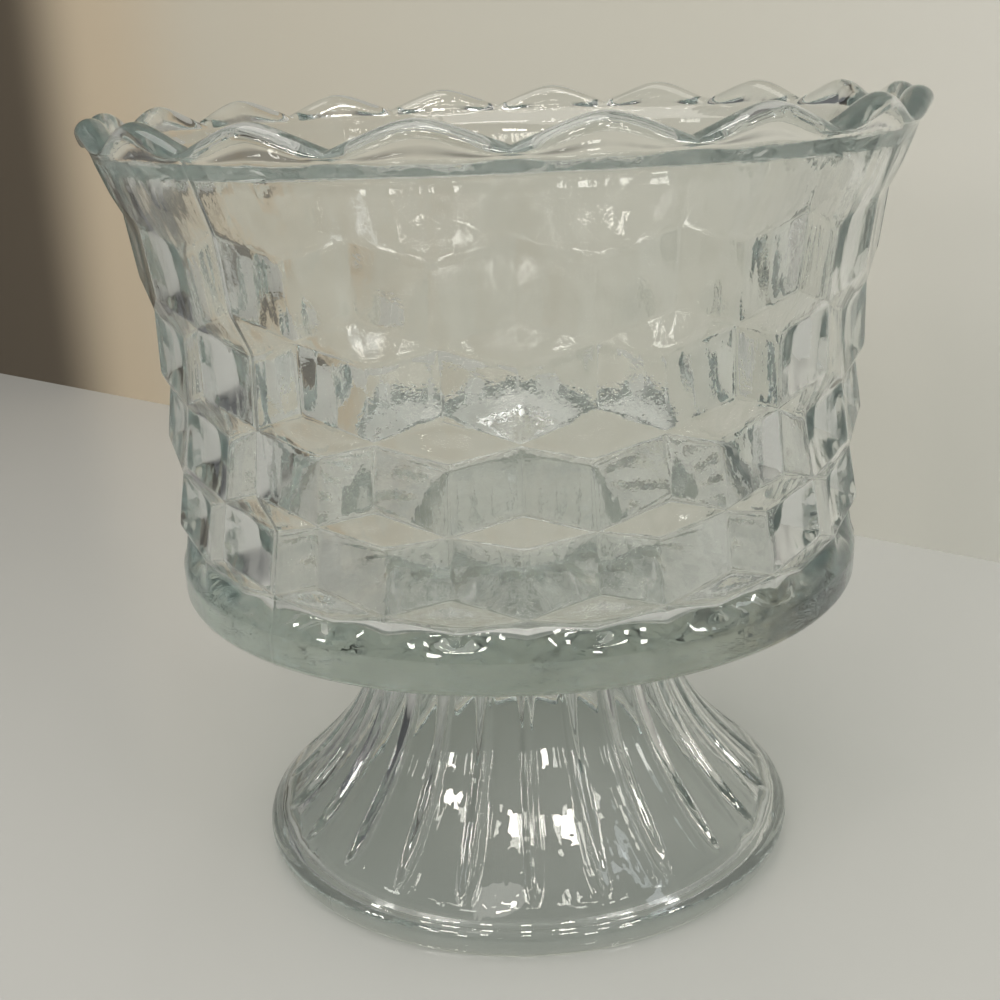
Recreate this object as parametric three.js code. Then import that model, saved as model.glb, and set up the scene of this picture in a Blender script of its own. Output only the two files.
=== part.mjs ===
import * as THREE from 'three';

// Footed bowl in clear pressed glass: a cube-patterned bowl joined hot to a fluted, hollow foot.
// Millimetres, +Z up, origin on the table under the axis, one column of cubes facing -Y.

// Overall sizes.
const OVERALL_DIAMETER = 220;
const BOWL_HEIGHT = 129.4;
const FOOT_HEIGHT = 84;
const FOOT_DIAMETER = 158.4;
const NECK_DIAMETER = 82.4;

// Bowl: wall, floor and plain band at the base.
const WALL_INSET = 16.2;
const WALL_THICKNESS = 4;
const FLOOR_THICKNESS = 9;
const FLOOR_FILLET = 8;
const BAND_HEIGHT = 11.5;
const BAND_BULGE = 2;
const BAND_EDGE = 2.6;

// Bowl: cube pattern. Each cube shows one diamond with two side corners, a back corner above them
// that stands proud and a front corner below them that is sunk.
const CUBES_ROUND = 18;
const CUBE_ROWS = 5;
const ROW_GROWTH = 1.05;
const PATTERN_ABOVE_BAND = 7.3;
const DIAMOND_RISE = 5.8;
const DIAMOND_DROP = 4.8;
const BACK_PROUD = 2.4;
const FRONT_SUNK = 3;
const CORNER_HEIGHT = 0.6;

// Bowl: flared rim with one scallop over each cube.
const RIM_HEIGHT = 24;
const RIM_FLARE = 9;
const SCALLOP_RISE = 5.8;
const LIP_THICKNESS = 8;
const PARTING_DEPTH = 2.1;
const PARTING_INSET = 3;
const VALLEY_INSET = 1.6;

// Foot: hollow trumpet with flutes that end short of a plain rounded edge.
const FLUTES_ROUND = 24;
const FLUTE_DEPTH = 1.4;
const FOOT_WALL = 5.4;
const EDGE_HEIGHT = 5.2;
const EDGE_ROUNDING = 4;
const STANDING_RING = 3;
const FLARE_SLOPE = 1;
const FLARE_REACH = 24;
const NECK_REACH = 40;

const rimRadius = OVERALL_DIAMETER / 2;
const wallRadius = rimRadius - WALL_INSET;
const bandRadius = wallRadius + BAND_BULGE;
const neckRadius = NECK_DIAMETER / 2;
const footRadius = FOOT_DIAMETER / 2;
const underside = FOOT_HEIGHT;
const crest = FOOT_HEIGHT + BOWL_HEIGHT;

// A lathed solid whose rings may change from column to column. Each ring is a function of the
// column that returns a radius and a height. Column 0 faces -Y.
function latheOfRings(rings, columns) {
  const outline = rings.map((ring) => new THREE.Vector2(...ring(0)));
  const geometry = new THREE.LatheGeometry(outline, columns);
  const position = geometry.getAttribute('position');
  for (let step = 0; step <= columns; step += 1) {
    const column = step % columns;
    const angle = (2 * Math.PI * column) / columns - Math.PI / 2;
    rings.forEach((ring, index) => {
      const [radius, height] = ring(column);
      const vertex = step * rings.length + index;
      position.setXYZ(vertex, radius * Math.cos(angle), radius * Math.sin(angle), height);
    });
  }
  geometry.computeVertexNormals();
  return geometry;
}

function plainRing(radius, height) {
  return () => [radius, height];
}

// Four columns to a cube: column 0 is under a valley of the scalloped rim, column 2 under a peak,
// and columns 1 and 3 are half way along the flat faces between them.
const COLUMNS_PER_CUBE = 4;
const halfCube = Math.PI / CUBES_ROUND;

function facetRing([valleyRadius, valleyHeight], [peakRadius, peakHeight]) {
  const across = (valleyRadius + peakRadius * Math.cos(halfCube)) / 2;
  const along = (peakRadius * Math.sin(halfCube)) / 2;
  const middle = [Math.hypot(across, along), (valleyHeight + peakHeight) / 2];
  const points = [[valleyRadius, valleyHeight], middle, [peakRadius, peakHeight], middle];
  return (column) => points[column % COLUMNS_PER_CUBE];
}

// Each ring of the lip rises from valley to peak, and the peaks are rounder than the valleys.
const PEAK_ROUNDNESS = 0.6;

function lipRing([valleyInset, belowValley], [peakInset, belowPeak]) {
  const valley = [rimRadius - valleyInset, crest - SCALLOP_RISE - belowValley];
  const peak = [rimRadius - peakInset, crest - belowPeak];
  const middle = valley.map((size, index) => size + (peak[index] - size) * PEAK_ROUNDNESS);
  const points = [valley, middle, peak, middle];
  return (column) => points[column % COLUMNS_PER_CUBE];
}

// Rows are numbered from the bottom. Each is a little taller than the one below it, and the top
// rows lean out to the flared rim.
function cubeRows() {
  const lowest = underside + BAND_HEIGHT + PATTERN_ABOVE_BAND;
  const highest = crest - RIM_HEIGHT;
  const steps = CUBE_ROWS - 1;
  const growth = (ROW_GROWTH * steps * (steps - 1)) / 2;
  const firstStep = (highest - lowest - growth) / steps;
  const leanStart = steps * 0.4;
  const topRadius = rimRadius - RIM_FLARE;
  const rows = [];
  for (let row = 0; row < CUBE_ROWS; row += 1) {
    const height = lowest + firstStep * row + (ROW_GROWTH * row * (row - 1)) / 2;
    const lean = Math.max(0, (row - leanStart) / (steps - leanStart)) ** 2;
    const radius = wallRadius + (topRadius - wallRadius) * lean;
    rows.push({
      cornersInValleys: (steps - row) % 2 === 0,
      cornerBottom: [radius, height - CORNER_HEIGHT / 2],
      cornerTop: [radius, height + CORNER_HEIGHT / 2],
      front: [radius - FRONT_SUNK, height - DIAMOND_DROP],
      back: [radius + BACK_PROUD, height + DIAMOND_RISE],
    });
  }
  return rows;
}

// Quarter arc from below its centre round to beside it.
function arcPoints(centreRadius, centreHeight, size, steps) {
  const points = [];
  for (let step = 0; step <= steps; step += 1) {
    const turn = (Math.PI / 2) * (step / steps);
    const radius = centreRadius + size * Math.sin(turn);
    const height = centreHeight - size * Math.cos(turn);
    points.push([radius, height]);
  }
  return points;
}

function bowlGeometry() {
  const rows = cubeRows();
  const bandTop = underside + BAND_HEIGHT;
  const floor = underside + FLOOR_THICKNESS;
  const rings = [plainRing(0, underside)];
  for (const [radius, height] of arcPoints(bandRadius - BAND_EDGE, underside + BAND_EDGE, BAND_EDGE, 3)) {
    rings.push(plainRing(radius, height));
  }
  rings.push(plainRing(bandRadius, bandTop - BAND_EDGE));
  rings.push(plainRing(bandRadius - BAND_BULGE / 2, bandTop));
  for (const row of rows) {
    if (row.cornersInValleys) {
      rings.push(facetRing(row.cornerBottom, row.front));
      rings.push(facetRing(row.cornerTop, row.back));
    } else {
      rings.push(facetRing(row.front, row.cornerBottom));
      rings.push(facetRing(row.back, row.cornerTop));
    }
  }
  // Flare of the rim, the parting ring under the scallops, then round the lip to the inside.
  const flareHeight = crest - RIM_HEIGHT * 0.6;
  const flareRadius = rimRadius - RIM_FLARE * 0.75;
  rings.push(facetRing([flareRadius - 1, flareHeight], [flareRadius + 1, flareHeight]));
  rings.push(plainRing(rimRadius - PARTING_INSET, crest - SCALLOP_RISE - PARTING_DEPTH));
  rings.push(lipRing([VALLEY_INSET, 1.3], [0, LIP_THICKNESS * 0.5]));
  rings.push(lipRing([VALLEY_INSET + 1, 0.4], [LIP_THICKNESS * 0.25, LIP_THICKNESS * 0.15]));
  rings.push(lipRing([LIP_THICKNESS * 0.68, 0], [LIP_THICKNESS * 0.68, 0]));
  rings.push(lipRing([LIP_THICKNESS, 1.2], [LIP_THICKNESS, LIP_THICKNESS * 0.32]));
  // Smooth inside, one wall thickness behind the sunk corners, then the rounded floor corner,
  // which lies behind the lowest row.
  rings.push(plainRing(flareRadius - WALL_THICKNESS, flareHeight + 2));
  for (const row of rows.slice(1).toReversed()) {
    const [radius, height] = row.front;
    rings.push(plainRing(radius - WALL_THICKNESS, height));
  }
  const insideRadius = wallRadius - FRONT_SUNK - WALL_THICKNESS;
  const fillet = arcPoints(insideRadius - FLOOR_FILLET, floor + FLOOR_FILLET, FLOOR_FILLET, 3);
  for (const [radius, height] of fillet.toReversed()) {
    rings.push(plainRing(radius, height));
  }
  rings.push(plainRing(0, floor));
  return latheOfRings(rings, CUBES_ROUND * COLUMNS_PER_CUBE);
}

// Three columns to a flute: one on the ridge between flutes and two in the hollow.
const COLUMNS_PER_FLUTE = 3;

function fluteRing(radius, height, depth) {
  return (column) => [column % COLUMNS_PER_FLUTE === 0 ? radius : radius - depth, height];
}

const FLANK_STEPS = 12;
const FLUTE_END = 0.92;

function footGeometry() {
  const edgeTop = EDGE_HEIGHT + EDGE_ROUNDING * 0.75;
  const flank = new THREE.CubicBezierCurve(
    new THREE.Vector2(footRadius - EDGE_ROUNDING * 0.35, edgeTop),
    new THREE.Vector2(footRadius - EDGE_ROUNDING * 0.35 - FLARE_REACH, edgeTop + FLARE_REACH * FLARE_SLOPE),
    new THREE.Vector2(neckRadius, FOOT_HEIGHT - NECK_REACH),
    new THREE.Vector2(neckRadius, FOOT_HEIGHT),
  );
  // Standing ring and rounded edge.
  const ringOuter = footRadius - EDGE_ROUNDING;
  const rings = [
    plainRing(ringOuter, 0),
    plainRing(footRadius - EDGE_ROUNDING * 0.4, EDGE_HEIGHT * 0.2),
    plainRing(footRadius - EDGE_ROUNDING * 0.08, EDGE_HEIGHT * 0.6),
    plainRing(footRadius, EDGE_HEIGHT),
  ];
  const hollow = [];
  for (let step = 0; step <= FLANK_STEPS; step += 1) {
    const share = step / FLANK_STEPS;
    const point = flank.getPoint(share);
    const tangent = flank.getTangent(share);
    const fade = step < 2 ? 0 : Math.min(1, FLUTE_END - share + 0.5);
    rings.push(fluteRing(point.x, point.y, FLUTE_DEPTH * fade));
    if (step > 0) {
      const inward = new THREE.Vector2(-tangent.y, tangent.x).multiplyScalar(FOOT_WALL);
      const height = Math.min(point.y + inward.y, FOOT_HEIGHT);
      hollow.push(plainRing(point.x + inward.x, height));
    }
  }
  rings.push(...hollow.toReversed());
  // Back down to the inner side of the standing ring, and closed.
  rings.push(plainRing(ringOuter - STANDING_RING, 0));
  rings.push(plainRing(ringOuter, 0));
  return latheOfRings(rings, FLUTES_ROUND * COLUMNS_PER_FLUTE);
}

function clearGlass() {
  return new THREE.MeshStandardMaterial({
    color: 0xd3ddd8,
    roughness: 0.04,
    metalness: 0,
    transparent: true,
    opacity: 0.4,
  });
}

const bowl = new THREE.Mesh(bowlGeometry(), clearGlass());
bowl.name = 'bowl';

const pedestalFoot = new THREE.Mesh(footGeometry(), clearGlass());
pedestalFoot.name = 'pedestal_foot';

const footedBowl = new THREE.Group();
footedBowl.add(bowl);
footedBowl.add(pedestalFoot);

export default footedBowl;
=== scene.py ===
import math

import bpy
import numpy as np
from mathutils import Matrix, Vector


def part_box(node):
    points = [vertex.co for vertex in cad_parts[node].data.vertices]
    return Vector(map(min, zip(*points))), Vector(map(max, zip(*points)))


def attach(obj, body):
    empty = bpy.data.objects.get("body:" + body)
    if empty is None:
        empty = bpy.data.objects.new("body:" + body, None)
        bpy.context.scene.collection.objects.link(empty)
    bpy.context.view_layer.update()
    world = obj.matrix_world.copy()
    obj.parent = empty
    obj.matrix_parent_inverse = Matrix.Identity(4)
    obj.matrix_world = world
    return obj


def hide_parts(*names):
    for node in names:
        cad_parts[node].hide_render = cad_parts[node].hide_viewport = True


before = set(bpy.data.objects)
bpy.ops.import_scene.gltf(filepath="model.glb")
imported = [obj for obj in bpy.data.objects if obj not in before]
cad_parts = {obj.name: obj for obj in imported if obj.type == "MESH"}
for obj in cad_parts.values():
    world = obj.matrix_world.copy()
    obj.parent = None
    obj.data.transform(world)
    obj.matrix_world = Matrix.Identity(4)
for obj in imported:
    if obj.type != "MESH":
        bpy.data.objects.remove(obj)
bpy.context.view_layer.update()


# ---- Foot --------------------------------------------------------------------------------------
# The foot is a pressing of its own in clear soda-lime glass: a hollow trumpet, smooth inside, with
# shallow flutes outside, a leaf-shaped groove between each two of them, and a plain rounded edge.
# Its neck is joined hot to the bowl, so it runs a hair into the bowl's glass.

foot_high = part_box("pedestal_foot")[1]
foot_radius = foot_high.x
foot_top = foot_high.z
neck_radius = 0.0412
foot_wall = 0.0054
edge_height = 0.0052
edge_rounding = 0.004
edge_flatness = 0.75
edge_turn_end = 0.34
edge_turn_steps = 12
flank_overhang = 0.35
flank_steps = 84
standing_ring = 0.003
ring_step = 0.0048
ring_step_rounding = 0.0008
ring_bevel = 0.0006
flare_reach = 0.024
neck_reach = 0.040
flutes_round = 24
flute_depth = 0.0007
flute_end = 0.0045
groove_depth = 0.0027
groove_width = 0.0074
groove_tip = 0.0072
groove_swell = 0.016
groove_tip_width = 0.3
groove_neck_width = 0.4
groove_neck_depth = 0.45
plain_neck = 0.001
neck_fade = 0.012
columns_per_flute = 28
groove_crowding = 1.8
fused_overlap = 0.0002
foot_seam_places = (-3, 5, 13)
foot_seam_height = 0.0001
wear_height = 0.0004
# The foot's glass colour is darker than the bowl's. It is the glass's faint tint plus painted shade
# for the shaded table seen through the foot and the darker room it reflects.
foot_tint_and_painted_shade = (0.94, 0.955, 0.95)
glass_ior = 1.52
absorbed_tint = (0.70, 0.76, 0.75)
absorbed_density = 13
shadow_tint = (0.78, 0.80, 0.79)
ripple_scale = 140
ripple_stretch = (1, 1, 0.22)
ripple_height = 0.00022
pebble_scale = 1100
pebble_height = 0.00002
pebble_roughness = 0.05


def bezier(p0, p1, p2, p3, count):
    share = np.linspace(0, 1, count)[:, None]
    points = [np.array(p, float) for p in (p0, p1, p2, p3)]
    return (
        (1 - share) ** 3 * points[0]
        + 3 * share * (1 - share) ** 2 * points[1]
        + 3 * share**2 * (1 - share) * points[2]
        + share**3 * points[3]
    )


def outward_normals(profile):
    along = np.gradient(profile, axis=0)
    along /= np.linalg.norm(along, axis=1)[:, None]
    return np.stack([along[:, 1], -along[:, 0]], axis=1)


def lathed_mesh(name, rings, looped, marks):
    """A closed mesh through rings of points, each ring one point or a full turn of columns."""
    points = []
    rows = []
    values = []
    for ring, mark in zip(rings, marks):
        start = len(points)
        points.extend(map(tuple, ring))
        rows.append(range(start, len(points)))
        values.extend([mark] * len(ring))
    faces = []
    pairs = list(zip(rows, rows[1:]))
    if looped:
        pairs.append((rows[-1], rows[0]))
    for lower, upper in pairs:
        count = max(len(lower), len(upper))
        for column in range(count):
            after = (column + 1) % count
            if len(lower) == 1:
                faces.append((lower[0], upper[after], upper[column]))
            elif len(upper) == 1:
                faces.append((lower[column], lower[after], upper[0]))
            else:
                faces.append((lower[column], lower[after], upper[after], upper[column]))
    mesh = bpy.data.meshes.new(name)
    mesh.from_pydata(points, [], faces)
    mesh.polygons.foreach_set("use_smooth", [True] * len(mesh.polygons))
    texture = mesh.attributes.new("mould_texture", "FLOAT", "POINT")
    texture.data.foreach_set("value", values)
    mesh.update()
    piece = bpy.data.objects.new(name, mesh)
    bpy.context.scene.collection.objects.link(piece)
    return piece


def circle_ring(radius, height, angles):
    radius = np.broadcast_to(radius, angles.shape)
    height = np.broadcast_to(height, angles.shape)
    return np.stack([radius * np.cos(angles), radius * np.sin(angles), height], axis=1)


edge_top = edge_height + edge_rounding * edge_flatness
flank_start = foot_radius - edge_rounding * flank_overhang
flank = bezier(
    (flank_start, edge_top),
    (flank_start - flare_reach, edge_top + flare_reach),
    (neck_radius, foot_top - neck_reach),
    (neck_radius, foot_top + fused_overlap),
    flank_steps,
)
flank_normals = outward_normals(flank)
flank_length = np.concatenate([[0], np.cumsum(np.linalg.norm(np.diff(flank, axis=0), axis=1))])

# Columns crowd towards the grooves between the flutes, one groove at the front.
half_flute = math.pi / flutes_round
half_count = columns_per_flute // 2
from_groove = (np.arange(-half_count, half_count) + 0.5) / half_count
from_groove = np.sign(from_groove) * np.abs(from_groove) ** groove_crowding
from_groove = np.tile(from_groove, flutes_round)
groove_angles = np.repeat(np.arange(flutes_round) * 2 * half_flute - math.pi / 2, columns_per_flute)
flute_angles = groove_angles + from_groove * half_flute

foot_rings = []
for turn in np.linspace(-0.5, edge_turn_end, edge_turn_steps) * math.pi:
    radius = foot_radius - edge_rounding + edge_rounding * math.cos(turn)
    height = edge_height + edge_height * math.sin(turn) * (1 if turn < 0 else edge_flatness)
    foot_rings.append(circle_ring(radius, height, flute_angles))
arch = half_flute * foot_radius
flank_places = list(zip(flank, flank_normals, flank_length))
for point, normal, length in flank_places[1:]:
    out = point[0] / foot_radius
    up_flute = np.clip(1 - (length - flute_end) / arch, 0, None)
    from_middle = np.clip(np.sqrt((1 - np.abs(from_groove)) ** 2 + up_flute**2), 0, 1)
    below_neck = min(1, max(0, foot_top - point[1] - plain_neck) / neck_fade)
    sunk = flute_depth * (1 - from_middle**2) * below_neck
    swell = np.clip((length - groove_tip) / groove_swell, 0, 1)
    swell = math.sqrt(swell * (2 - swell))
    half_groove = groove_width / 2 * (groove_tip_width + (1 - groove_tip_width) * swell)
    half_groove *= groove_neck_width + (1 - groove_neck_width) * out
    share = np.clip(np.abs(from_groove) * half_flute * point[0] / half_groove, 0, 1)
    depth = groove_depth * (groove_neck_depth + (1 - groove_neck_depth) * out)
    sunk = sunk + depth * swell * below_neck * (0.5 + 0.5 * np.cos(math.pi * share))
    radius = point[0] - normal[0] * sunk
    height = point[1] - normal[1] * sunk
    height = np.minimum(height, foot_top + fused_overlap)
    foot_rings.append(circle_ring(radius, height, flute_angles))
hollow = flank - flank_normals * foot_wall
hollow[-1][1] = foot_top + fused_overlap
hollow = hollow[::3][::-1]
# The hollow ends at a small step above the standing ring, with a rounded corner.
for point in hollow[:-1]:
    foot_rings.append(circle_ring(point[0], point[1], flute_angles))
ring_inner = foot_radius - edge_rounding - standing_ring
step_corner = (ring_inner - ring_step_rounding, ring_step)
for share in (0.3, 0.6, 0.85, 1):
    radius = hollow[-2][0] * (1 - share) + step_corner[0] * share
    height = hollow[-2][1] * (1 - share) + step_corner[1] * share
    foot_rings.append(circle_ring(radius, height, flute_angles))
for turn in (0.2, 0.6, 1):
    radius = step_corner[0] + ring_step_rounding * math.sin(turn * math.pi / 2)
    height = step_corner[1] - ring_step_rounding * (1 - math.cos(turn * math.pi / 2))
    foot_rings.append(circle_ring(radius, height, flute_angles))
foot_rings.append(circle_ring(ring_inner, ring_step / 2, flute_angles))
foot_rings.append(circle_ring(ring_inner, ring_bevel, flute_angles))
foot_rings.append(circle_ring(ring_inner + ring_bevel / 3, ring_bevel / 4, flute_angles))
foot_rings.append(circle_ring(ring_inner + ring_bevel, 0, flute_angles))

# The three seams of the foot's mould show on its plain edge, and the standing ring is worn.
foot_seams = np.array(foot_seam_places) * columns_per_flute + half_count
for ring in foot_rings[2:edge_turn_steps]:
    ring[foot_seams, :2] *= 1 + foot_seam_height / foot_radius
worn = [1.0 if ring[0][2] < wear_height else 0.0 for ring in foot_rings]

foot = lathed_mesh("foot_of_pressed_glass", foot_rings, looped=True, marks=worn)


def pressed_glass(name, tint_with_painted_shade):
    """Clear glass with a faint grey-green body, long ripples and a pebbled skin where marked.

    Lamp light and soft bounced light pass straight through, dimmed, so the shadow stays soft.
    """
    material = bpy.data.materials.new(name)
    material.use_nodes = True
    nodes = material.node_tree.nodes
    links = material.node_tree.links
    nodes.clear()
    glass = nodes.new("ShaderNodeBsdfPrincipled")
    # Base colour: the glass's faint tint at each surface. For the foot it also carries painted shade.
    glass.inputs["Base Color"].default_value = (*tint_with_painted_shade, 1)
    glass.inputs["Transmission Weight"].default_value = 1
    glass.inputs["IOR"].default_value = glass_ior
    place = nodes.new("ShaderNodeTexCoord")
    stretched = nodes.new("ShaderNodeMapping")
    stretched.inputs["Scale"].default_value = ripple_stretch
    links.new(place.outputs["Object"], stretched.inputs["Vector"])
    ripples = nodes.new("ShaderNodeTexNoise")
    ripples.inputs["Scale"].default_value = ripple_scale
    ripples.inputs["Detail"].default_value = 2
    links.new(stretched.outputs["Vector"], ripples.inputs["Vector"])
    ripple_bump = nodes.new("ShaderNodeBump")
    ripple_bump.inputs["Strength"].default_value = 1
    ripple_bump.inputs["Distance"].default_value = ripple_height
    links.new(ripples.outputs["Fac"], ripple_bump.inputs["Height"])
    pebbles = nodes.new("ShaderNodeTexNoise")
    pebbles.inputs["Scale"].default_value = pebble_scale
    pebbles.inputs["Detail"].default_value = 1
    links.new(place.outputs["Object"], pebbles.inputs["Vector"])
    skin = nodes.new("ShaderNodeAttribute")
    skin.attribute_name = "mould_texture"
    marked_pebbles = nodes.new("ShaderNodeMath")
    marked_pebbles.operation = "MULTIPLY"
    links.new(pebbles.outputs["Fac"], marked_pebbles.inputs[0])
    links.new(skin.outputs["Fac"], marked_pebbles.inputs[1])
    pebble_bump = nodes.new("ShaderNodeBump")
    pebble_bump.inputs["Strength"].default_value = 1
    pebble_bump.inputs["Distance"].default_value = pebble_height
    links.new(marked_pebbles.outputs[0], pebble_bump.inputs["Height"])
    links.new(ripple_bump.outputs["Normal"], pebble_bump.inputs["Normal"])
    links.new(pebble_bump.outputs["Normal"], glass.inputs["Normal"])
    roughness = nodes.new("ShaderNodeMapRange")
    roughness.inputs["To Min"].default_value = 0.0
    roughness.inputs["To Max"].default_value = pebble_roughness
    links.new(skin.outputs["Fac"], roughness.inputs["Value"])
    links.new(roughness.outputs["Result"], glass.inputs["Roughness"])
    lamp_way = nodes.new("ShaderNodeLightPath")
    lamps_or_diffuse = nodes.new("ShaderNodeMath")
    lamps_or_diffuse.operation = "MAXIMUM"
    links.new(lamp_way.outputs["Is Shadow Ray"], lamps_or_diffuse.inputs[0])
    links.new(lamp_way.outputs["Is Diffuse Ray"], lamps_or_diffuse.inputs[1])
    clear = nodes.new("ShaderNodeBsdfTransparent")
    clear.inputs["Color"].default_value = (*shadow_tint, 1)
    mix = nodes.new("ShaderNodeMixShader")
    links.new(lamps_or_diffuse.outputs[0], mix.inputs["Fac"])
    links.new(glass.outputs["BSDF"], mix.inputs[1])
    links.new(clear.outputs["BSDF"], mix.inputs[2])
    tint = nodes.new("ShaderNodeVolumeAbsorption")
    tint.inputs["Color"].default_value = (*absorbed_tint, 1)
    tint.inputs["Density"].default_value = absorbed_density
    output = nodes.new("ShaderNodeOutputMaterial")
    links.new(mix.outputs["Shader"], output.inputs["Surface"])
    links.new(tint.outputs["Volume"], output.inputs["Volume"])
    return material


foot.data.materials.append(pressed_glass("foot glass", foot_tint_and_painted_shade))
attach(foot, "root")
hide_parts("pedestal_foot")


# ---- Bowl --------------------------------------------------------------------------------------
# The bowl is one pressing: a mould cuts the cube pattern, the plain band and the scalloped lip
# outside, and a smooth plunger forms the inside. Fire polishing then rounds every edge.

bowl_low, bowl_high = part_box("bowl")
rim_radius = bowl_high.x
underside = bowl_low.z
crest = bowl_high.z
cubes_round = 18
cube_rows = 5
wall_inset = 0.0162
wall_thickness = 0.004
floor_thickness = 0.009
floor_fillet = 0.008
band_height = 0.0115
band_bulge = 0.002
band_edge = 0.0024
row_growth = 0.00105
pattern_above_band = 0.0073
diamond_rise = 0.0058
diamond_drop = 0.0048
back_proud = 0.0024
front_sunk = 0.003
corner_height = 0.0005
rows_upright = 0.4
rim_height = 0.024
rim_flare = 0.009
scallop_rise = 0.0058
peak_sharpness = 0.28
lip_thickness = 0.0082
lip_rounding = 0.0038
lip_clearance = 0.0004
lip_steps = 21
cove_depth = 0.011
cove_inset = 0.0038
cove_valley_inset = 0.0005
ledge_width = 0.0044
ledge_drop = 0.0034
parting_depth = 0.0021
parting_inset = 0.003
parting_step = (0.0002, 0.0003)
valley_inset = 0.0016
upright_inside = 0.051
inside_curve = 1.8
inside_steps = 30
fillet_turn = 0.45
fillet_steps = 8
axis_radius = 0.002
edge_softness = 0.0009
softening_steps = 7
columns_per_half_cube = 12
rays_round = 24
ray_depth = 0.001
ray_depth_by_radius = ((0.0435, 0), (0.048, 1), (0.058, 0.7), (0.070, 0))
band_rounding_start = 0.004
bowl_seam_places = (-4, 8, 20)
seam_height = 0.00016
bowl_glass_colour = (0.975, 0.985, 0.978)

half_cube = math.pi / cubes_round
wall_radius = rim_radius - wall_inset
band_radius = wall_radius + band_bulge
band_top = underside + band_height
floor_height = underside + floor_thickness
valley_crest = crest - scallop_rise

clustered = 0.5 - 0.5 * np.cos(math.pi * np.arange(columns_per_half_cube) / columns_per_half_cube)
half_cubes = np.arange(2 * cubes_round)
cube_places = (half_cubes[:, None] + clustered[None, :]).ravel()
bowl_angles = cube_places * half_cube - math.pi / 2
from_peak = np.abs((cube_places % 2) - 1)


def facet_ring(valley, peak):
    """Straight between a corner under each rim valley and one under each peak, edges softened."""
    corner_angles = half_cubes * half_cube - math.pi / 2
    odd = half_cubes % 2
    radius = np.where(odd, peak[0], valley[0])
    height = np.where(odd, peak[1], valley[1])
    corners = circle_ring(radius, height, corner_angles)
    softness = edge_softness / (wall_radius * half_cube)
    ring = np.zeros((len(cube_places), 3))
    shifts = np.linspace(-softness, softness, softening_steps)
    for shift in shifts:
        place = cube_places + shift
        before = np.floor(place).astype(int)
        share = (place - before)[:, None]
        first = corners[before % len(half_cubes)]
        second = corners[(before + 1) % len(half_cubes)]
        ring += first * (1 - share) + second * share
    return ring / len(shifts)


def plain_ring(radius, height):
    return circle_ring(radius, height, bowl_angles)


# Each ring comes with the number of steps up to it and how far its skin is pebbled.
bowl_rings = [(plain_ring(axis_radius, underside), 1, 0)]
bowl_rings.append((plain_ring(neck_radius, underside), 4, 0))
rays = 0.5 - 0.5 * np.cos(rays_round * (bowl_angles + math.pi / 2))
for radius, share in ray_depth_by_radius:
    bowl_rings.append((plain_ring(radius, underside + ray_depth * share * rays), 4, 0))
bowl_rings.append((plain_ring(band_radius - band_edge - band_rounding_start, underside), 4, 0))
for turn in np.linspace(0, 0.5, 6) * math.pi:
    radius = band_radius - band_edge + band_edge * math.sin(turn)
    height = underside + band_edge - band_edge * math.cos(turn)
    bowl_rings.append((plain_ring(radius, height), 2, 0))
bowl_rings.append((plain_ring(band_radius, band_top - band_edge), 5, 0))
bowl_rings.append((plain_ring(band_radius - band_bulge / 2, band_top), 4, 0))

lowest_row = band_top + pattern_above_band
highest_row = crest - rim_height
row_steps = cube_rows - 1
growth = row_growth * row_steps * (row_steps - 1) / 2
first_step = (highest_row - lowest_row - growth) / row_steps
lean_start = row_steps * rows_upright
for row in range(cube_rows):
    height = lowest_row + first_step * row + row_growth * row * (row - 1) / 2
    lean = max(0, (row - lean_start) / (row_steps - lean_start)) ** 2
    radius = wall_radius + (rim_radius - rim_flare - wall_radius) * lean
    corner_bottom = (radius, height - corner_height / 2)
    corner_top = (radius, height + corner_height / 2)
    front = (radius - front_sunk, height - diamond_drop)
    back = (radius + back_proud, height + diamond_rise)
    if (row_steps - row) % 2 == 0:
        bowl_rings.append((facet_ring(corner_bottom, front), 8, 1))
        bowl_rings.append((facet_ring(corner_top, back), 7, 1))
    else:
        bowl_rings.append((facet_ring(front, corner_bottom), 8, 1))
        bowl_rings.append((facet_ring(back, corner_top), 7, 1))

cove_height = crest - cove_depth
cove_valley = (rim_radius - cove_inset - cove_valley_inset, cove_height)
cove_peak = (rim_radius - cove_inset, cove_height)
bowl_rings.append((facet_ring(cove_valley, cove_peak), 6, 0.7))
parting = valley_crest - parting_depth
parting_radius = rim_radius - parting_inset
lip_start = parting + parting_step[1]
bowl_rings.append((plain_ring(parting_radius, parting), 5, 0))
bowl_rings.append((plain_ring(parting_radius + parting_step[0], lip_start), 1, 0))

rise = np.sqrt(from_peak**2 + peak_sharpness**2) - peak_sharpness
scallop = 1 - rise / (math.sqrt(1 + peak_sharpness**2) - peak_sharpness)
lip_crest = valley_crest + scallop_rise * scallop
lip_outer = rim_radius - valley_inset * (1 - scallop)
lip_inner = rim_radius - lip_thickness
lip_drop = np.minimum(lip_rounding, lip_crest - parting - lip_clearance)
for turn in np.linspace(0, 1, lip_steps) * math.pi:
    radius = (lip_outer + lip_inner) / 2 + (lip_outer - lip_inner) / 2 * math.cos(turn)
    height = lip_crest - lip_drop * (1 - math.sin(turn))
    bowl_rings.append((circle_ring(radius, height, bowl_angles), 3 if turn == 0 else 1, 0))

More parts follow.
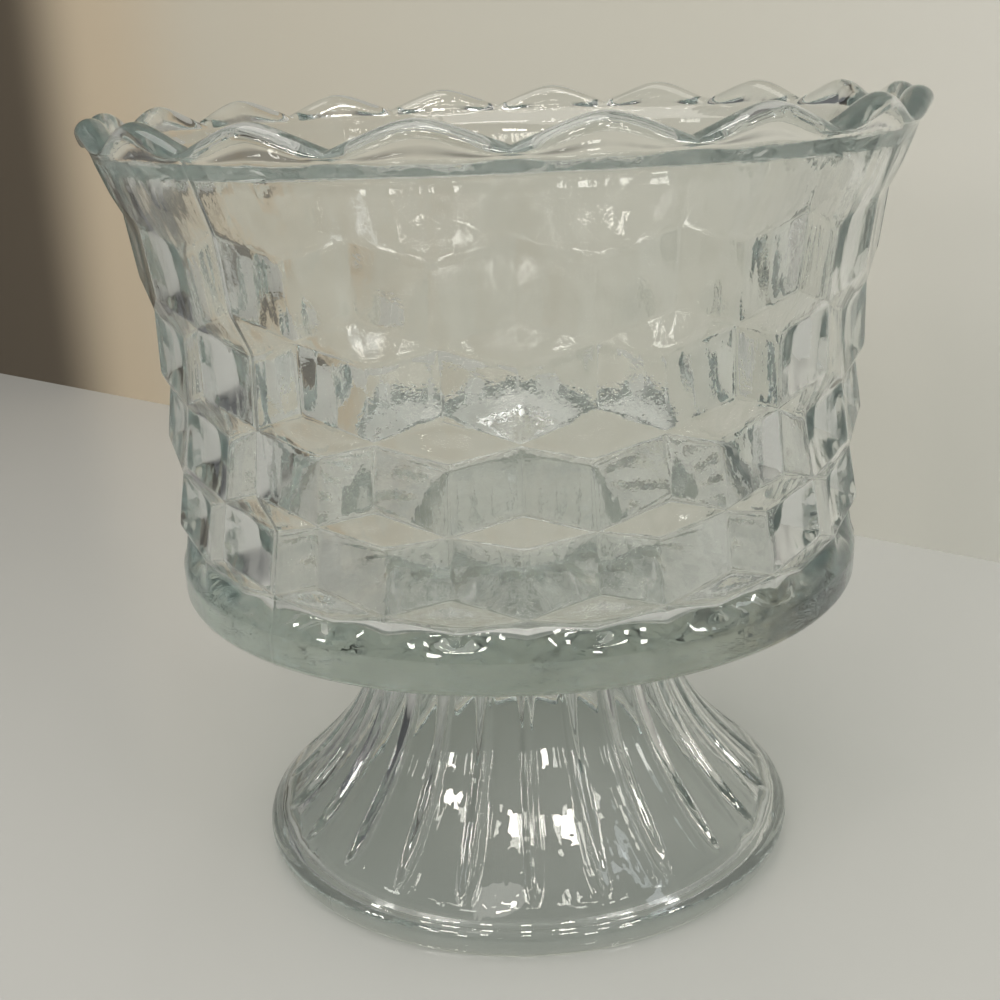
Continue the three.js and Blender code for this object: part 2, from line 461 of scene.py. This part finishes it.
inside_radius = wall_radius - front_sunk - wall_thickness
flare_start = underside + upright_inside
rings_to_lip_top = len(bowl_rings) - lip_steps // 2 - 1
ledge_radius = lip_inner - ledge_width
inside_top = parting - ledge_drop
bowl_rings.append((plain_ring(lip_inner - parting_step[0] / 2, lip_start), 3, 0))
fillet_top = floor_height + floor_fillet
for height in np.linspace(inside_top, fillet_top, inside_steps):
    share = max(0, (height - flare_start) / (inside_top - flare_start))
    radius = inside_radius + (ledge_radius - inside_radius) * share**inside_curve
    bowl_rings.append((plain_ring(radius, height), 3 if height == inside_top else 1, 0))
for turn in np.linspace(fillet_turn, 0, fillet_steps) * math.pi:
    radius = inside_radius - floor_fillet + floor_fillet * math.sin(turn)
    height = floor_height + floor_fillet - floor_fillet * math.cos(turn)
    bowl_rings.append((plain_ring(radius, height), 1, 0))
bowl_rings.append((plain_ring(neck_radius, floor_height), 6, 0))
bowl_rings.append((plain_ring(axis_radius, floor_height), 4, 0))

# Even out the pressing along its profile: each ring is divided into steps towards the next one,
# and every point is averaged over a short way up and down, which rounds the edges.
stack = np.array([ring for ring, steps, skin in bowl_rings])
skins = np.array([skin for ring, steps, skin in bowl_rings], float)
spacing = np.linalg.norm(np.diff(stack, axis=0), axis=2).mean(axis=1)
reach = np.concatenate([[0], np.cumsum(spacing)])
places = [reach[0]]
for index in range(1, len(bowl_rings)):
    steps = bowl_rings[index][1]
    shares = 0.5 - 0.5 * np.cos(math.pi * np.arange(1, steps + 1) / steps)
    places.extend(reach[index - 1] + (reach[index] - reach[index - 1]) * shares)
places = np.array(places)


def along_profile(place):
    place = np.clip(place, reach[0], reach[-1])
    index = np.clip(np.searchsorted(reach, place) - 1, 0, len(reach) - 2)
    share = (place - reach[index]) / (reach[index + 1] - reach[index])
    return index, share


softened = np.zeros((len(places), stack.shape[1], 3))
shifts = np.linspace(-edge_softness, edge_softness, softening_steps)
for shift in shifts:
    index, share = along_profile(places + shift)
    share = share[:, None, None]
    softened += stack[index] * (1 - share) + stack[index + 1] * share
softened /= len(shifts)
index, share = along_profile(places)
skin_marks = skins[index] * (1 - share) + skins[index + 1] * share

# Three mould seams stand a little proud, 120 degrees apart, from the underside to the lip's top.
seam_columns = (np.array(bowl_seam_places) * columns_per_half_cube) % len(bowl_angles)
outside = places < reach[rings_to_lip_top]
for column in seam_columns:
    softened[outside, column, :2] *= 1 + seam_height / wall_radius

bowl_points = [np.array([[0, 0, underside]])]
bowl_points.extend(softened)
bowl_points.append(np.array([[0, 0, floor_height]]))
marks = [0.0, *skin_marks, 0.0]
bowl = lathed_mesh("bowl_of_pressed_glass", bowl_points, looped=False, marks=marks)
bowl.data.materials.append(pressed_glass("bowl glass", bowl_glass_colour))
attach(bowl, "root")
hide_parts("bowl")


# ---- Table and wall ----------------------------------------------------------------------------
# A pale satin table top and a plain painted wall behind it, warm at the left and cooler at the
# right. Both are only there to be seen through the glass and under it.

table_half = 3.0
table_colour = (0.42, 0.425, 0.41)
wall_left = (-2.8, 2.6)
wall_right = (2.2, -1.4)
wall_height = 2.4
tones_half_width = 0.5
# Wall tones from left to right. Painted shade: the wall turns dark brown at the far left, a soft
# shadow zone of the room. At the far right, out of frame, it turns dark grey.
wall_tones_with_painted_shade = (
    (0.165, (0.11, 0.09, 0.065)),
    (0.240, (0.60, 0.51, 0.38)),
    (0.340, (0.58, 0.55, 0.465)),
    (0.550, (0.57, 0.56, 0.495)),
    (0.800, (0.61, 0.61, 0.575)),
    (1.000, (0.20, 0.20, 0.20)),
)
wall_shade = 0.42
shade_start = 0.30
shade_end = 0.38


def stage_material(name, colour, roughness):
    material = bpy.data.materials.new(name)
    material.use_nodes = True
    surface = material.node_tree.nodes["Principled BSDF"]
    surface.inputs["Base Color"].default_value = (*colour, 1)
    surface.inputs["Roughness"].default_value = roughness
    return material


def stage_card(name, corners, material):
    mesh = bpy.data.meshes.new(name)
    mesh.from_pydata(corners, [], [tuple(range(len(corners)))])
    card = bpy.data.objects.new(name, mesh)
    bpy.context.scene.collection.objects.link(card)
    mesh.materials.append(material)


stage_card(
    "table",
    [(-table_half, -table_half, 0), (table_half, -table_half, 0),
     (table_half, table_half, 0), (-table_half, table_half, 0)],
    stage_material("pale table", table_colour, 0.25),
)

warm_wall = stage_material("warm wall", wall_tones_with_painted_shade[3][1], 0.6)
painted = warm_wall.node_tree.nodes["Principled BSDF"]
nodes = warm_wall.node_tree.nodes
links = warm_wall.node_tree.links
place = nodes.new("ShaderNodeTexCoord")
axes = nodes.new("ShaderNodeSeparateXYZ")
links.new(place.outputs["Object"], axes.inputs[0])
across = nodes.new("ShaderNodeMapRange")
across.inputs["From Min"].default_value = -tones_half_width
across.inputs["From Max"].default_value = tones_half_width
links.new(axes.outputs["X"], across.inputs["Value"])
tones = nodes.new("ShaderNodeValToRGB")
tones.color_ramp.interpolation = "EASE"
ramp = tones.color_ramp.elements
while len(ramp) < len(wall_tones_with_painted_shade):
    ramp.new(0.5)
for stop, (position, colour) in zip(ramp, wall_tones_with_painted_shade):
    stop.position = position
    stop.color = (*colour, 1)
links.new(across.outputs["Result"], tones.inputs["Fac"])
shade = nodes.new("ShaderNodeMapRange")
shade.inputs["From Min"].default_value = shade_start
shade.inputs["From Max"].default_value = shade_end
shade.inputs["To Min"].default_value = 1.0
shade.inputs["To Max"].default_value = wall_shade
links.new(axes.outputs["Z"], shade.inputs["Value"])
shaded_tones = nodes.new("ShaderNodeVectorMath")
shaded_tones.operation = "SCALE"
links.new(tones.outputs["Color"], shaded_tones.inputs[0])
links.new(shade.outputs["Result"], shaded_tones.inputs["Scale"])
links.new(shaded_tones.outputs["Vector"], painted.inputs["Base Color"])

# The wall is solid from the bowl's side and clear from behind, so it never hides the bowl.
clear_back = nodes.new("ShaderNodeBsdfTransparent")
side = nodes.new("ShaderNodeNewGeometry")
one_sided = nodes.new("ShaderNodeMixShader")
links.new(side.outputs["Backfacing"], one_sided.inputs["Fac"])
links.new(clear_back.outputs["BSDF"], one_sided.inputs[1])
links.new(painted.outputs["BSDF"], one_sided.inputs[2])
links.new(one_sided.outputs["Shader"], nodes["Material Output"].inputs["Surface"])
stage_card(
    "wall",
    [(*wall_right, 0), (*wall_left, 0), (*wall_left, wall_height), (*wall_right, wall_height)],
    warm_wall,
)


# ---- Lights ------------------------------------------------------------------------------------
# A dim room, a little brighter high up on the far side, with one large soft fill overhead, a
# cool window, and rows of small warm lamps that leave short bright marks on the facets.

middle = (0, 0, 0.12)
daylight = (0.88, 0.94, 1.0)
soft_white = (1.0, 0.97, 0.92)
warm_white = (1.0, 0.95, 0.88)
room_colour = (0.80, 0.81, 0.83)
room_low_strength = 0.03
room_high_strength = 0.20
room_bright_side = (0.25, 0.6, 0.5)
room_turn = 0.55
lamp_shift = -0.08
low_lamp_distance = 1.25
low_lamp_height = 0.56
low_lamp_bearings = (-66, -41, -28, 22, 37, 58)

world = bpy.data.worlds.new("room")
bpy.context.scene.world = world
world.use_nodes = True
room = world.node_tree.nodes["Background"]
room.inputs["Color"].default_value = (*room_colour, 1)
nodes = world.node_tree.nodes
links = world.node_tree.links
facing = nodes.new("ShaderNodeTexCoord")
toward_window = nodes.new("ShaderNodeVectorMath")
toward_window.operation = "DOT_PRODUCT"
toward_window.inputs[1].default_value = room_bright_side
links.new(facing.outputs["Generated"], toward_window.inputs[0])
brightness = nodes.new("ShaderNodeMapRange")
brightness.interpolation_type = "SMOOTHSTEP"
brightness.inputs["From Min"].default_value = -room_turn
brightness.inputs["From Max"].default_value = room_turn
brightness.inputs["To Min"].default_value = room_low_strength
brightness.inputs["To Max"].default_value = room_high_strength
links.new(toward_window.outputs["Value"], brightness.inputs["Value"])
links.new(brightness.outputs["Result"], room.inputs["Strength"])


def softbox(name, place, target, shape, width, height, power, colour):
    light = bpy.data.lights.new(name, "AREA")
    light.shape = shape
    light.size = width
    light.size_y = height
    light.energy = power
    light.color = colour
    lamp = bpy.data.objects.new(name, light)
    bpy.context.scene.collection.objects.link(lamp)
    lamp.location = place
    lamp.rotation_euler = (Vector(target) - Vector(place)).to_track_quat("-Z", "Y").to_euler()
    return lamp


fill = softbox("fill", (-0.3, -0.1, 1.6), middle, "RECTANGLE", 1.6, 1.2, 15, soft_white)
fill.visible_transmission = False
softbox("ceiling", (0.1, -0.3, 1.5), middle, "RECTANGLE", 0.5, 0.16, 2.4, soft_white)
softbox("window", (1.3, -0.5, 0.9), middle, "RECTANGLE", 0.5, 0.9, 5, daylight)
for across in np.linspace(-1.0, 1.0, 7):
    place = (across + lamp_shift, -1.0, 1.05)
    softbox("lamp", place, middle, "RECTANGLE", 0.13, 0.13, 1.5, warm_white)
for across in np.linspace(-0.65, 0.65, 5):
    place = (across + lamp_shift, -0.8, 1.75)
    softbox("lamp", place, middle, "RECTANGLE", 0.13, 0.045, 0.5, warm_white)
for around in low_lamp_bearings:
    bearing = math.radians(around)
    sideways = low_lamp_distance * math.sin(bearing)
    deep = -low_lamp_distance * math.cos(bearing)
    place = (sideways, deep, low_lamp_height)
    low_lamp = softbox("low_lamp", place, middle, "RECTANGLE", 0.09, 0.17, 1.3, soft_white)
    low_lamp.visible_camera = False
for across, deep in ((-0.12, 0.35), (0.4, 0.1)):
    softbox("lamp", (across, deep, 1.8), middle, "DISK", 0.05, 0.05, 1.2, warm_white)


# ---- Camera ------------------------------------------------------------------------------------
# Close to the bowl and a little above its rim, looking down, with a slight roll. Light bends many
# times in thick glass, so the bounce limits are high.

turn = math.radians(-0.82)
pitch = math.radians(18.29)
yaw = math.radians(-0.73)
roll = math.radians(-2.34)
distance = 0.3748
eye_height = 0.2246
lens = 48.74
sensor_width = 36
forward = Vector((math.sin(yaw) * math.cos(pitch), math.cos(yaw) * math.cos(pitch), -math.sin(pitch)))
right = Vector((math.cos(yaw), -math.sin(yaw), 0))
up = right.cross(forward)
camera_x = right * math.cos(roll) + up * math.sin(roll)
camera_y = up * math.cos(roll) - right * math.sin(roll)
camera_data = bpy.data.cameras.new("camera")
camera_data.sensor_width = sensor_width
camera_data.lens = lens
camera = bpy.data.objects.new("camera", camera_data)
bpy.context.scene.collection.objects.link(camera)
axes = Matrix((camera_x, camera_y, -forward)).transposed().to_4x4()
axes.translation = Vector((0, -distance, eye_height))
camera.matrix_world = Matrix.Rotation(turn, 4, "Z") @ axes
bpy.context.scene.camera = camera

bpy.context.scene.view_settings.view_transform = "Standard"
bounces = bpy.context.scene.cycles
bounces.max_bounces = 96
bounces.transmission_bounces = 64
bounces.transparent_max_bounces = 24
bounces.glossy_bounces = 64
